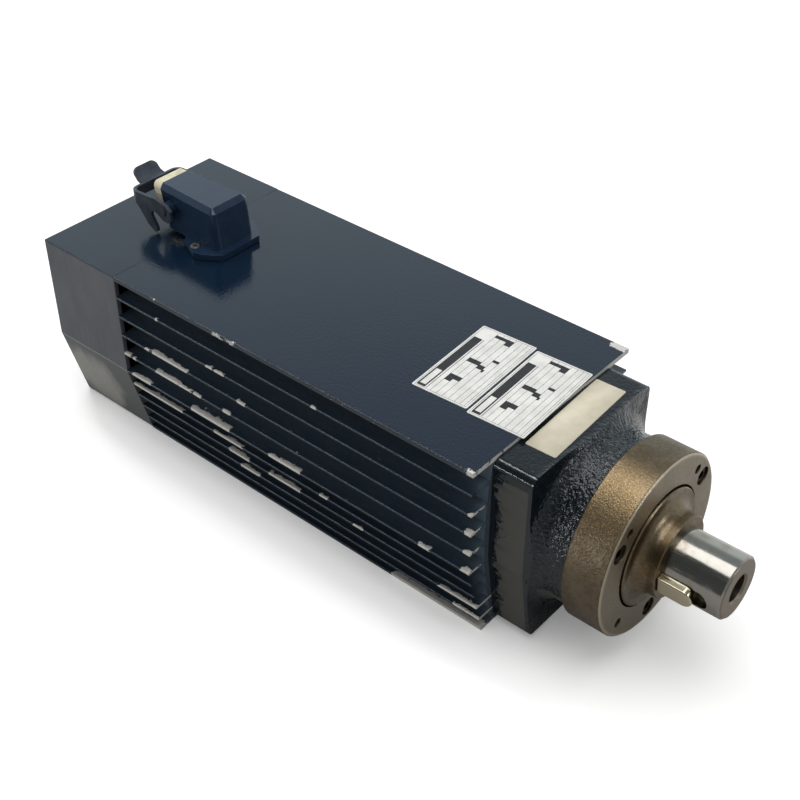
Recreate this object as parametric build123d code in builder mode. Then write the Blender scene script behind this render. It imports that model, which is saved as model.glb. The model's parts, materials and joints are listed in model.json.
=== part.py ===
"""Motor spindle with a finned housing, a keyed nose shaft and an angled power connector.

Frame, in millimetres: the origin is on the shaft axis at the front face of the
mounting ring. +X runs along the shaft and out of the nose, +Z points up, away from
the underside that the spindle stands on, and +Y completes the right-handed frame.
"""
import os
from math import cos, pi, radians, sin

from build123d import *

os.makedirs("parts", exist_ok=True)

# ---- housing, extruded section ----
HALF_WIDTH = 61.5        # fin tips on the upright sides
TOP_Z = 49.5             # flat top plate
CORNER_Z = -12.5         # where the upright side turns into the sloping side
FOOT_HALF = 49.5         # half width of the underside
FOOT_Z = -60.0           # underside, so the shaft height is 60
PLATE_T = 2.8            # overhanging edge of the top plate
FIN_TIP = 1.5
FIN_ROOT = 1.5
FINS_UPRIGHT = 5
FINS_SLOPING = 4
BORE_R = 42.0
HOUSING_FRONT = -62.0
HOUSING_REAR = -303.0
COWL_REAR = -362.0

# ---- bearing shields and mounting ring ----
BLOCK_HALF = 47.0
BLOCK_TOP = 47.5
BLOCK_FRONT = -40.0
BARREL_R = 44.5
RING_R = 47.5
RING_BACK = -21.0
FLARE_R = 9.0            # round between the block's front face and the barrel
SHIELD_SCREWS = [(41, 38), (-41, 38), (34, -42), (-34, -42)]
COWL_SCREWS = [(44, 16), (-44, 16), (44, -16), (-44, -16)]
RING_PCD = 80.0
SEAM = 0.05              # air left between surfaces that only rest side by side

# ---- shaft and bearings ----
NOSE_R = 16.0
NOSE_END = 42.0
KEY_ANGLE = 190.0
FRONT_SEAT_R = 20.0
FRONT_OUTER_R = 34.0
FRONT_PITCH_R = 27.0
FRONT_BALL_R = 3.75
FRONT_BALLS = 10
REAR_SEAT_R = 10.0
REAR_OUTER_R = 23.5
REAR_PITCH_R = 16.75
REAR_BALL_R = 3.9
REAR_BALLS = 8
BALL_GAP = 0.08

# ---- electrical parts ----
STACK_FRONT = -98.0
STACK_REAR = -252.0
SLOTS = 24
CONNECTOR_FRONT = -275.5
BODY_TOP = 77.5
BODY_BOTTOM = 52.5
MOUTH_TOP = -319.0
MOUTH_BOTTOM = -313.5
CABLE_X = -290.0
PIVOT = (-311.0, 66.0)
CONNECTOR_SCREWS = [(-288.5, 16.1), (-288.5, -16.1)]
ARM_OUT, ARM_IN = 17.5, 15.6     # faces of the locking lever's side arms
TAB_HALF = 8.0


# ---- helpers: each returns a face or a solid that the caller adds or cuts ----
def turned(points):
    """Face of a closed outline of (x, radius) points, ready to revolve about the shaft axis."""
    with BuildSketch(Plane.XY) as face:
        with BuildLine():
            Polyline(*points, close=True)
        make_face()
    return face.sketch


def section(x, points):
    """Face of a closed outline of (y, z) points in the cross plane at x."""
    with BuildSketch(Plane.YZ.offset(x)) as face:
        with BuildLine():
            Polyline(*points, close=True)
        make_face()
    return face.sketch


def discs(x, radius, centres):
    """Round faces at (y, z) centres in the cross plane at x."""
    with BuildSketch(Plane.YZ.offset(x)) as face:
        with Locations(*centres):
            Circle(radius)
    return face.sketch


def side_face(y, points):
    """Face of a closed outline of (x, z) points in the upright plane at y."""
    plane = Plane(origin=(0, y, 0), x_dir=(1, 0, 0), z_dir=(0, -1, 0))
    with BuildSketch(plane) as face:
        with BuildLine():
            Polyline(*points, close=True)
        make_face()
    return face.sketch


def mouth_x(z):
    """X of the connector's slanted mouth plane at height z."""
    return MOUTH_TOP + (MOUTH_BOTTOM - MOUTH_TOP) * (BODY_TOP - z) / (BODY_TOP - BODY_BOTTOM)


def polar(radius, degrees):
    """(y, z) point at an angle measured from +Y towards +Z."""
    return (radius * cos(radians(degrees)), radius * sin(radians(degrees)))


def mirrored(points):
    """Close a right-hand outline of (y, z) points with its mirror image."""
    return points + [(-y, z) for y, z in reversed(points)]


def slope_y(z):
    """Half width of the fin tips at height z on the sloping side."""
    return HALF_WIDTH + (FOOT_HALF - HALF_WIDTH) * (CORNER_Z - z) / (CORNER_Z - FOOT_Z)


def save(built, name):
    """Label a finished sub-part and write its file."""
    built.part.label = name
    export_step(built.part, f"parts/{name}.step")


# ---- housing: one extruded section with thin tapered fins ----
pitch = (TOP_Z - PLATE_T / 2 - CORNER_Z) / FINS_UPRIGHT
slope_pitch = (CORNER_Z - FOOT_Z) / (FINS_SLOPING + 1)
fin_heights = [TOP_Z - PLATE_T / 2 - pitch * k for k in range(1, FINS_UPRIGHT + 1)]
fin_heights += [CORNER_Z - slope_pitch * k for k in range(1, FINS_SLOPING + 1)]
BLOCK_OUTLINE = mirrored([(BLOCK_HALF, BLOCK_TOP), (BLOCK_HALF, -11), (40, -57)])

with BuildPart() as finned_housing:
    with BuildSketch(Plane.YZ.offset(HOUSING_REAR)) as extrusion:
        with BuildLine():
            Line((-46.5, TOP_Z), (46.5, TOP_Z))
            ThreePointArc((46.5, TOP_Z), (50.5, 0), (40, FOOT_Z))
            Line((40, FOOT_Z), (-40, FOOT_Z))
            ThreePointArc((-40, FOOT_Z), (-50.5, 0), (-46.5, TOP_Z))
        make_face()
        with Locations((0, TOP_Z - PLATE_T / 2)):
            Rectangle(2 * HALF_WIDTH, PLATE_T)
        with BuildLine():
            Polyline((-FOOT_HALF, FOOT_Z), (FOOT_HALF, FOOT_Z), (FOOT_HALF + 0.6, FOOT_Z + 2.4),
                     (-FOOT_HALF - 0.6, FOOT_Z + 2.4), close=True)
        make_face()
        for z in fin_heights:
            tip = HALF_WIDTH if z > CORNER_Z - 1 else slope_y(z)
            for side in (1, -1):
                with BuildLine():
                    Polyline((side * 40, z - FIN_ROOT), (side * 40, z + FIN_ROOT),
                             (side * (tip - 0.4), z + FIN_TIP / 2), (side * tip, z + FIN_TIP / 2 - 0.4),
                             (side * tip, z - FIN_TIP / 2 + 0.4), (side * (tip - 0.4), z - FIN_TIP / 2),
                             close=True)
                make_face()
        Circle(BORE_R, mode=Mode.SUBTRACT)
    extrude(amount=HOUSING_FRONT - HOUSING_REAR)
    extrude(discs(HOUSING_FRONT, 2.5, SHIELD_SCREWS), amount=-17, mode=Mode.SUBTRACT)
    extrude(discs(HOUSING_REAR, 2.5, SHIELD_SCREWS), amount=17, mode=Mode.SUBTRACT)
    with Locations((CABLE_X, 0, 45)):
        Cylinder(6.5, 14, mode=Mode.SUBTRACT)
    with Locations(*[(x, y, TOP_Z - 3) for x, y in CONNECTOR_SCREWS]):
        Cylinder(1.55, 6.2, mode=Mode.SUBTRACT)
save(finned_housing, "finned_housing")

# ---- front bearing shield: square cast block that flares into a round barrel ----
with BuildPart() as front_shield:
    extrude(section(HOUSING_FRONT, BLOCK_OUTLINE), amount=BLOCK_FRONT - HOUSING_FRONT)
    fillet(front_shield.edges().filter_by(Axis.X), radius=4.5)
    with BuildSketch(Plane.XY) as barrel:
        with BuildLine():
            Line((BLOCK_FRONT - 1, 0), (BLOCK_FRONT - 1, BARREL_R + FLARE_R))
            Line((BLOCK_FRONT - 1, BARREL_R + FLARE_R), (BLOCK_FRONT, BARREL_R + FLARE_R))
            RadiusArc((BLOCK_FRONT, BARREL_R + FLARE_R), (BLOCK_FRONT + FLARE_R, BARREL_R), -FLARE_R)
            Line((BLOCK_FRONT + FLARE_R, BARREL_R), (RING_BACK, BARREL_R))
            Line((RING_BACK, BARREL_R), (RING_BACK, 0))
            Line((RING_BACK, 0), (BLOCK_FRONT - 1, 0))
        make_face()
    revolve(barrel.sketch, axis=Axis.X)
    extrude(section(HOUSING_FRONT, BLOCK_OUTLINE), amount=RING_BACK - HOUSING_FRONT, mode=Mode.INTERSECT)
    revolve(turned([(-70, 0), (-70, BORE_R - SEAM), (HOUSING_FRONT, BORE_R - SEAM), (HOUSING_FRONT, 0)]),
            axis=Axis.X)
    revolve(turned([(-71, 0), (-71, 31), (-54, 31), (-54, FRONT_OUTER_R), (-20, FRONT_OUTER_R), (-20, 0)]),
            axis=Axis.X, mode=Mode.SUBTRACT)
    extrude(discs(BLOCK_FRONT + 8, 4.6, SHIELD_SCREWS), amount=-13.2, mode=Mode.SUBTRACT)
    extrude(discs(BLOCK_FRONT, 3.3, SHIELD_SCREWS), amount=-23, mode=Mode.SUBTRACT)
    ring_screw_spots = [polar(RING_PCD / 2, a) for a in (30, 150, 270)]
    extrude(discs(RING_BACK, 2.1, ring_screw_spots), amount=-16, mode=Mode.SUBTRACT)
save(front_shield, "front_shield")


def socket_screws(seat_x, centres, shank_r, shank_len, head_r, head_h, facing=1):
    """Socket screws whose heads bear on the cross plane at seat_x and face +X (1) or -X (-1)."""
    with BuildPart() as screws:
        extrude(discs(seat_x, head_r, centres), amount=facing * head_h)
        rims = screws.faces().sort_by(Axis.X, reverse=facing > 0)[0:len(centres)]
        chamfer(rims.edges(), head_h * 0.1)
        extrude(discs(seat_x, shank_r, centres), amount=-facing * shank_len)
        with BuildSketch(Plane.YZ.offset(seat_x + facing * head_h)) as hexes:
            with Locations(*centres):
                RegularPolygon(head_r * 0.55, 6)
        extrude(hexes.sketch, amount=-facing * head_h * 0.55, mode=Mode.SUBTRACT)
    return screws


front_shield_screws = socket_screws(BLOCK_FRONT - 5.2, SHIELD_SCREWS, 2.5, 30, 4.25, 5.0)
save(front_shield_screws, "front_shield_screws")

# ---- mounting ring: bearing cover, centring diameter and labyrinth in one turned steel piece ----
with BuildPart() as flange_ring:
    revolve(turned([(RING_BACK, 22.9), (-24, 22.9), (-24, FRONT_OUTER_R - SEAM),
                    (RING_BACK, FRONT_OUTER_R - SEAM), (RING_BACK, RING_R - 0.5),
                    (RING_BACK + 0.5, RING_R), (-1, RING_R), (0, RING_R - 1), (0, 31.7), (-6, 31.7),
                    (-6, 22.9)]), axis=Axis.X)
    extrude(discs(0.1, 4.9, ring_screw_spots), amount=-6.1, mode=Mode.SUBTRACT)
    extrude(discs(0, 2.75, ring_screw_spots), amount=-22, mode=Mode.SUBTRACT)
    extrude(discs(0, 2.5, [polar(RING_PCD / 2, 45 + 90 * k) for k in range(4)]), amount=-15,
            mode=Mode.SUBTRACT)
save(flange_ring, "flange_ring")

flange_ring_screws = socket_screws(-6, ring_screw_spots, 2.1, 28, 4.25, 5.0)
save(flange_ring_screws, "flange_ring_screws")

# ---- rear bearing shield ----
REAR_OUTLINE = mirrored([(53, 45), (53, -14), (43, -54)])
with BuildPart() as rear_shield:
    extrude(section(HOUSING_REAR, REAR_OUTLINE), amount=-8)
    revolve(turned([(-297, 0), (-297, BORE_R - SEAM), (-303, BORE_R - SEAM), (-303, 30), (-318, 28), (-318, 0)]),
            axis=Axis.X)
    revolve(turned([(-296, 0), (-296, REAR_OUTER_R), (-316, REAR_OUTER_R), (-316, 18), (-319, 18), (-319, 0)]),
            axis=Axis.X, mode=Mode.SUBTRACT)
    extrude(discs(HOUSING_REAR, 3.3, SHIELD_SCREWS), amount=-9, mode=Mode.SUBTRACT)
    extrude(discs(-311, 2.1, COWL_SCREWS), amount=8, mode=Mode.SUBTRACT)
save(rear_shield, "rear_shield")


rear_shield_screws = socket_screws(-311, SHIELD_SCREWS, 2.5, 22, 5.0, 5.0, facing=-1)
save(rear_shield_screws, "rear_shield_screws")

# ---- stator: slotted core, and windings that fill its slots and join in two end turns ----
SLOT_IN, SLOT_OUT = 26.5, 36.0
with BuildPart() as stator_core:
    with BuildSketch(Plane.YZ.offset(STACK_REAR)):
        Circle(BORE_R - SEAM)
        Circle(24.5, mode=Mode.SUBTRACT)
        with PolarLocations((SLOT_IN + SLOT_OUT) / 2, SLOTS):
            Rectangle(SLOT_OUT - SLOT_IN, 3.6, mode=Mode.SUBTRACT)
        with PolarLocations(25.5, SLOTS):
            Rectangle(3.0, 1.4, mode=Mode.SUBTRACT)
    extrude(amount=STACK_FRONT - STACK_REAR)
save(stator_core, "stator_core")

with BuildPart() as stator_windings:
    for start, end in ((STACK_FRONT, STACK_FRONT + 20), (STACK_REAR, STACK_REAR - 22)):
        lean = 2.0 if end > start else -2.0
        revolve(turned([(start, SLOT_IN + 0.4), (start, SLOT_OUT - 0.4), (start + 2 * lean, 38.5),
                        (end - 2 * lean, 39.5), (end, 37), (end, 30), (end - 2 * lean, 28)]), axis=Axis.X)
    with BuildSketch(Plane.YZ.offset(STACK_REAR)):
        with PolarLocations((SLOT_IN + SLOT_OUT) / 2, SLOTS):
            Rectangle(SLOT_OUT - SLOT_IN - 0.8, 3.2)
    extrude(amount=STACK_FRONT - STACK_REAR)
save(stator_windings, "stator_windings")

# ---- rear fan cowl: folded shell with the housing's outline, open at the front ----
COWL_OUTLINE = mirrored([(HALF_WIDTH, TOP_Z), (HALF_WIDTH, CORNER_Z), (FOOT_HALF, FOOT_Z)])
COWL_INSIDE = mirrored([(HALF_WIDTH - 2.5, TOP_Z - 2.5), (HALF_WIDTH - 2.5, CORNER_Z + 0.3),
                        (FOOT_HALF - 2.1, FOOT_Z + 2.5)])
GRILLE_R = 40.0
with BuildPart() as fan_cowl:
    extrude(section(HOUSING_REAR - SEAM, COWL_OUTLINE), amount=COWL_REAR - HOUSING_REAR + SEAM)
    long_edges = fan_cowl.edges().filter_by(lambda e: abs(e.length - 58.95) < 0.02).sort_by(Axis.Z)
    fillet(long_edges[:-2], radius=2.0)
    chamfer(fan_cowl.faces().sort_by(Axis.X)[0].edges(), 1.5)
    extrude(section(HOUSING_REAR, COWL_INSIDE), amount=COWL_REAR + 2.5 - HOUSING_REAR, mode=Mode.SUBTRACT)
    extrude(discs(COWL_REAR, GRILLE_R, [(0, -2)]), amount=4, mode=Mode.SUBTRACT)
    extrude(discs(COWL_REAR, 2.2, COWL_SCREWS), amount=4, mode=Mode.SUBTRACT)
save(fan_cowl, "fan_cowl")

# ---- rear intake grille: concentric rings on spokes, held in the cowl's rear opening ----
with BuildPart() as intake_grille:
    with BuildSketch(Plane.YZ.offset(COWL_REAR + 2.5)) as grille:
        with Locations((0, -2)):
            Circle(GRILLE_R + 3)
            Circle(GRILLE_R - 3, mode=Mode.SUBTRACT)
            for radius in (32, 24, 16):
                with BuildSketch(Plane.YZ.offset(COWL_REAR + 2.5), mode=Mode.PRIVATE) as hoop:
                    Circle(radius)
                    Circle(radius - 2.4, mode=Mode.SUBTRACT)
                add(hoop.sketch_local)
            Circle(8)
            with PolarLocations(22, 4, start_angle=45):
                Rectangle(32, 2.6)
    extrude(amount=1.6)
save(intake_grille, "intake_grille")

cowl_screws = socket_screws(COWL_REAR, COWL_SCREWS, 2.1, 55, 4.2, 2.6, facing=-1)
save(cowl_screws, "cowl_screws")

# ---- rotor shaft: nose with keyway and tapped centre hole, bearing seats, fan seat ----
KEY_W, KEY_BOTTOM, KEY_TOP = 10.0, 11.0, 19.2
KEYWAY = (5.0, 35.5)
KEY = (11.6, 29.5)
key_plane = Plane(origin=(0, 0, 0), x_dir=(1, 0, 0),
                  z_dir=(0, cos(radians(KEY_ANGLE)), sin(radians(KEY_ANGLE))))
with BuildPart() as shaft:
    revolve(turned([(-348, 0), (-348, 8), (-347, 9), (-322, 9), (-322, REAR_SEAT_R), (-300, REAR_SEAT_R),
                    (-300, 15), (-262, 15), (-262, 18), (-86, 18), (-86, 22), (-64, 22), (-64, 19.5),
                    (-54, 19.5), (-54, FRONT_SEAT_R), (-24, FRONT_SEAT_R), (-24, NOSE_R),
                    (NOSE_END - 1.2, NOSE_R), (NOSE_END, NOSE_R - 1.2), (NOSE_END, 0)]), axis=Axis.X)
    revolve(turned([(NOSE_END + 0.1, 0), (NOSE_END + 0.1, 8.1), (NOSE_END - 1, 7), (12, 7), (8, 0)]),
            axis=Axis.X, mode=Mode.SUBTRACT)
    revolve(turned([(-345.4, 8.3), (-345.4, 10), (-344.2, 10), (-344.2, 8.3)]), axis=Axis.X,
            mode=Mode.SUBTRACT)
    with BuildSketch(key_plane.offset(KEY_BOTTOM)):
        with Locations(((KEYWAY[0] + KEYWAY[1]) / 2, 0)):
            SlotOverall(KEYWAY[1] - KEYWAY[0], KEY_W)
    extrude(amount=10, mode=Mode.SUBTRACT)
save(shaft, "shaft")

with BuildPart() as shaft_key:
    with BuildSketch(key_plane.offset(KEY_BOTTOM)):
        with Locations(((KEY[0] + KEY[1] - KEY_W / 2) / 2, 0)):
            Rectangle(KEY[1] - KEY[0] - KEY_W / 2, KEY_W)
        with Locations((KEY[1] - KEY_W / 2, 0)):
            Circle(KEY_W / 2)
    extrude(amount=KEY_TOP - KEY_BOTTOM)
    outermost = shaft_key.faces().sort_by(lambda f: f.center().Y ** 2 + f.center().Z ** 2)[-1]
    chamfer(outermost.edges(), 0.5)
save(shaft_key, "shaft_key")

# ---- nose disc: labyrinth hub, dished face and collar in one turned piece ----
with BuildPart() as nose_disc:
    with BuildSketch(Plane.XY) as dish:
        with BuildLine():
            Polyline((7.8, 21.2), (11, 21.2), (11.5, 20.7), (11.5, NOSE_R), (-24, NOSE_R), (-24, 22.4),
                     (-5, 22.4), (-5, 30.6), (0.6, 30.6), (1.2, 30), (1.2, 27.8))
            RadiusArc((1.2, 27.8), (7.8, 21.2), -6.6)
        make_face()
    revolve(axis=Axis.X)
save(nose_disc, "nose_disc")

# ---- rotor: laminated core with a cast cage showing as end rings with balancing studs ----
with BuildPart() as rotor_core:
    revolve(turned([(STACK_REAR, 18), (STACK_REAR, 24), (STACK_FRONT, 24), (STACK_FRONT, 18)]), axis=Axis.X)
save(rotor_core, "rotor_core")

with BuildPart() as rotor_cage:
    for inner, outer in ((STACK_FRONT, STACK_FRONT + 8), (STACK_REAR, STACK_REAR - 8)):
        revolve(turned([(inner, 18.6), (inner, 23.6), (outer, 23), (outer, 18.6)]), axis=Axis.X)
        studs = discs(outer, 1.2, [polar(20.8, 60 * k) for k in range(6)])
        extrude(studs, amount=4 if outer > inner else -4)
save(rotor_cage, "rotor_cage")

with BuildPart() as bearing_lock_nut:
    revolve(turned([(-54, 19.5), (-54, 26.5), (-62, 26.5), (-62, 19.5)]), axis=Axis.X)
    with BuildSketch(Plane.YZ.offset(-62)):
        with PolarLocations(26, 4):
            Rectangle(5, 6)
    extrude(amount=5, mode=Mode.SUBTRACT)
save(bearing_lock_nut, "bearing_lock_nut")


# ---- ball bearings: inner rings, outer rings, balls and cages ----
def race(x, width, bore_r, rim_r, ball_pitch_r, ball_r):
    """Face of one bearing ring between two radii, with its ball groove cut out."""
    with BuildSketch(Plane.XY) as face:
        with Locations((x, (bore_r + rim_r) / 2)):
            Rectangle(width, abs(rim_r - bore_r))
        with Locations((x, ball_pitch_r)):
            Circle(ball_r + BALL_GAP, mode=Mode.SUBTRACT)
    return face.sketch


def ball_circle(x, pitch_r, ball_r, count):
    """Balls of one bearing row."""
    with BuildPart() as balls:
        with Locations(*[(x, *polar(pitch_r, 360 * k / count)) for k in range(count)]):
            Sphere(ball_r)
    return balls.part


def cage_ring(x, width, inner_r, outer_r, pitch_r, pocket_r, count):
    """Solid cage ring with one through pocket for each ball."""
    with BuildPart() as cage:
        revolve(turned([(x - width / 2, inner_r), (x - width / 2, outer_r), (x + width / 2, outer_r),
                        (x + width / 2, inner_r)]), axis=Axis.X)
        for k in range(count):
            y, z = polar(pitch_r, 360 * k / count)
            pocket = Plane(origin=(x, y, z), x_dir=(1, 0, 0), z_dir=(0, y, z))
            with BuildSketch(pocket.offset(-6)):
                Circle(pocket_r)
            extrude(amount=12, mode=Mode.SUBTRACT)
    return cage.part


FRONT_ROWS = (-31.5, -46.5)
REAR_ROW = -307.0
with BuildPart() as front_outer_rings:
    for x in FRONT_ROWS:
        revolve(race(x, 14.98, 29.6, FRONT_OUTER_R, FRONT_PITCH_R, FRONT_BALL_R), axis=Axis.X)
save(front_outer_rings, "front_outer_rings")

with BuildPart() as front_inner_rings:
    for x in FRONT_ROWS:
        revolve(race(x, 14.98, FRONT_SEAT_R, 24.4, FRONT_PITCH_R, FRONT_BALL_R), axis=Axis.X)
save(front_inner_rings, "front_inner_rings")

with BuildPart() as front_balls:
    for x in FRONT_ROWS:
        add(ball_circle(x, FRONT_PITCH_R, FRONT_BALL_R, FRONT_BALLS))
save(front_balls, "front_balls")

with BuildPart() as front_cages:
    for x in FRONT_ROWS:
        add(cage_ring(x, 10.4, 25.8, 28.2, FRONT_PITCH_R, FRONT_BALL_R + 0.02, FRONT_BALLS))
save(front_cages, "front_cages")

with BuildPart() as rear_outer_ring:
    revolve(race(REAR_ROW, 14, 19.3, REAR_OUTER_R, REAR_PITCH_R, REAR_BALL_R), axis=Axis.X)
save(rear_outer_ring, "rear_outer_ring")

with BuildPart() as rear_inner_ring:
    revolve(race(REAR_ROW, 14, REAR_SEAT_R, 14.2, REAR_PITCH_R, REAR_BALL_R), axis=Axis.X)
save(rear_inner_ring, "rear_inner_ring")

with BuildPart() as rear_balls:
    add(ball_circle(REAR_ROW, REAR_PITCH_R, REAR_BALL_R, REAR_BALLS))
save(rear_balls, "rear_balls")

with BuildPart() as rear_cage:
    add(cage_ring(REAR_ROW, 10.4, 15.6, 17.9, REAR_PITCH_R, REAR_BALL_R + 0.02, REAR_BALLS))
save(rear_cage, "rear_cage")

# ---- fan on the shaft's rear end ----
FAN_FRONT, FAN_BACK, FAN_R, BLADES = -323.0, -344.0, 43.5, 9
with BuildPart() as fan:
    revolve(turned([(FAN_BACK, 9), (FAN_BACK, 13), (FAN_FRONT - 2, 15), (FAN_FRONT - 2, FAN_R), (FAN_FRONT, FAN_R),
                    (FAN_FRONT, 9)]), axis=Axis.X)
    with BuildSketch(Plane.YZ.offset(FAN_FRONT - 1)):
        with PolarLocations((13.5 + FAN_R - 1) / 2, BLADES):
            Rectangle(FAN_R - 14.5, 1.8)
    extrude(amount=-17)
save(fan, "fan")

with BuildPart() as fan_clip:
    with BuildSketch(Plane.YZ.offset(-345.3)):
        Circle(11.2)
        Circle(8.35, mode=Mode.SUBTRACT)
        with Locations((0, -10)):
            Rectangle(5, 8, mode=Mode.SUBTRACT)
    extrude(amount=1.0)
save(fan_clip, "fan_clip")

# ---- plates on the top: two rating plates and one plain label ----
PLATE_THICK = 0.4


def top_plate(x0, x1, y0, y1, z, thick):
    """Thin plate with rounded corners lying on the top."""
    with BuildPart() as plate:
        with BuildSketch(Plane.XY.offset(z)):
            with Locations(((x0 + x1) / 2, (y0 + y1) / 2)):
                RectangleRounded(x1 - x0, y1 - y0, 0.8)
        extrude(amount=thick)
    return plate


rating_plate_rear = top_plate(-127.4, -95.8, -29, 31, TOP_Z, PLATE_THICK)
save(rating_plate_rear, "rating_plate_rear")
rating_plate_front = top_plate(-94.4, -62.8, -29, 31, TOP_Z, PLATE_THICK)
save(rating_plate_front, "rating_plate_front")
nose_label = top_plate(-61.2, -44.8, -28, 33, BLOCK_TOP, 0.3)
save(nose_label, "nose_label")

# ---- power connector: base gasket, angled housing, mouth seal, contact insert and pins ----
FLANGE_TOP = TOP_Z + 4.0
BODY_HALF = 11.25        # half width at the mouth
FRONT_HALF = 13.4        # the body widens towards its closed front
BEVEL = 2.6
FLANGE_OUTLINE = [(-300, -12), (-300, 12), (-296.5, 16.5), (-284, 22), (-279, 20.5), (-269.5, 13.5),
                  (-269.5, -13.5), (-279, -20.5), (-284, -22), (-296.5, -16.5)]


def from_above(z, points, grow=0.0):
    """Face of a closed outline of (x, y) points in the level plane at z."""
    with BuildSketch(Plane.XY.offset(z)) as face:
        with BuildLine():
            Polyline(*points, close=True)
        make_face()
        if grow:
            offset(amount=grow)
    return face.sketch


with BuildPart() as connector_gasket:
    extrude(from_above(TOP_Z, FLANGE_OUTLINE, -0.6), amount=0.8)
    with Locations((CABLE_X, 0, TOP_Z)):
        Cylinder(9, 4, mode=Mode.SUBTRACT)
    with Locations(*[(x, y, TOP_Z) for x, y in CONNECTOR_SCREWS]):
        Cylinder(1.8, 4, mode=Mode.SUBTRACT)
save(connector_gasket, "connector_gasket")

BODY_SIDE = [(CONNECTOR_FRONT + 2.4, BODY_BOTTOM), (CONNECTOR_FRONT, BODY_TOP), (MOUTH_TOP, BODY_TOP),
             (MOUTH_BOTTOM, BODY_BOTTOM)]
CAVITY_SIDE = [(CONNECTOR_FRONT - 0.6, TOP_Z + 5.4), (CONNECTOR_FRONT - 2.6, BODY_TOP - 2.4),
               (MOUTH_TOP - 3, BODY_TOP - 2.4), (MOUTH_BOTTOM - 3, TOP_Z + 5.4)]
with BuildPart() as connector_housing:
    extrude(side_face(FRONT_HALF, BODY_SIDE), amount=2 * FRONT_HALF)
    extrude(from_above(BODY_BOTTOM, [(MOUTH_TOP, BODY_HALF), (CONNECTOR_FRONT + 2.4, FRONT_HALF),
                                     (CONNECTOR_FRONT + 2.4, -FRONT_HALF), (MOUTH_TOP, -BODY_HALF)]),
            amount=BODY_TOP - BODY_BOTTOM, mode=Mode.INTERSECT)
    front_corners = connector_housing.faces().sort_by(Axis.X)[-1].edges().filter_by(
        lambda e: abs(e.center().Z - (BODY_TOP + BODY_BOTTOM) / 2) < 1)
    fillet(front_corners, radius=3.2)
    chamfer(connector_housing.faces().sort_by(Axis.Z)[-1].edges().filter_by(
        lambda e: e.center().X > MOUTH_TOP + 1), BEVEL)
    extrude(from_above(TOP_Z + 0.8, FLANGE_OUTLINE), amount=3.2)
    extrude(side_face(BODY_HALF - 2.2, CAVITY_SIDE), amount=2 * (BODY_HALF - 2.2), mode=Mode.SUBTRACT)
    with Locations((CABLE_X, 0, TOP_Z + 3)):
        Cylinder(7, 8, mode=Mode.SUBTRACT)
    with Locations(*[(x, y, TOP_Z + 2) for x, y in CONNECTOR_SCREWS]):
        Cylinder(1.8, 6, mode=Mode.SUBTRACT)
    with Locations(*[(x, y, FLANGE_TOP) for x, y in CONNECTOR_SCREWS]):
        Cylinder(3.1, 4.4, mode=Mode.SUBTRACT)
    for side in (1, -1):
        boss = Plane(origin=(PIVOT[0], side * (BODY_HALF - 0.5), PIVOT[1]), x_dir=(1, 0, 0),
                     z_dir=(0, side, 0))
        with BuildSketch(boss):
            Circle(4.2)
        extrude(amount=ARM_IN - BODY_HALF + 0.2)
        with BuildSketch(boss):
            Circle(1.6)
        extrude(amount=6, both=True, mode=Mode.SUBTRACT)
save(connector_housing, "connector_housing")

SEAL_TOP, SEAL_BOTTOM, SEAL_HALF, SEAL_OUT = BODY_TOP - 0.3, BODY_BOTTOM + 0.4, BODY_HALF - 0.2, 5.5
with BuildPart() as connector_seal:
    extrude(side_face(SEAL_HALF, [(mouth_x(SEAL_TOP) - 0.02, SEAL_TOP), (mouth_x(SEAL_TOP) - SEAL_OUT, SEAL_TOP),
                                  (mouth_x(SEAL_BOTTOM) - SEAL_OUT, SEAL_BOTTOM),
                                  (mouth_x(SEAL_BOTTOM) - 0.02, SEAL_BOTTOM)]), amount=2 * SEAL_HALF)
    fillet(connector_seal.edges().filter_by(Axis.X), radius=3.2)
    extrude(side_face(SEAL_HALF - 2.2, [(-310, SEAL_TOP - 2.2), (-330, SEAL_TOP - 2.2),
                                        (-330, SEAL_BOTTOM + 2.2), (-310, SEAL_BOTTOM + 2.2)]),
            amount=2 * (SEAL_HALF - 2.2), mode=Mode.SUBTRACT)
save(connector_seal, "connector_seal")

# ---- contact insert with four pins, one in each corner of a square ----
INSERT_FRONT, INSERT_REAR = -298.0, -311.0
PIN_SPOTS = [(3.6, 61.4), (-3.6, 61.4), (3.6, 68.6), (-3.6, 68.6)]
with BuildPart() as contact_insert:
    with BuildSketch(Plane.YZ.offset(INSERT_REAR)):
        with Locations((0, TOP_Z + 15.5)):
            RectangleRounded(2 * (BODY_HALF - 2.3), 20, 1)
    extrude(amount=INSERT_FRONT - INSERT_REAR)
    extrude(discs(INSERT_REAR, 1.25, PIN_SPOTS), amount=9, mode=Mode.SUBTRACT)
save(contact_insert, "contact_insert")

with BuildPart() as contact_pins:
    extrude(discs(INSERT_REAR + 9, 1.25, PIN_SPOTS), amount=-14.5)
save(contact_pins, "contact_pins")

with BuildPart() as stator_leads:
    for y in (-3.6, -1.2, 1.2, 3.6):
        with BuildLine() as run:
            FilletPolyline((STACK_REAR - 22, y, 34), (CABLE_X, y, 34), (CABLE_X, y, 65),
                           (INSERT_FRONT, y, 65), radius=5)
        with BuildSketch(Plane.YZ.offset(STACK_REAR - 22)):
            with Locations((y, 34)):
                Circle(1.0)
        sweep(path=run.line)
save(stator_leads, "stator_leads")

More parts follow.
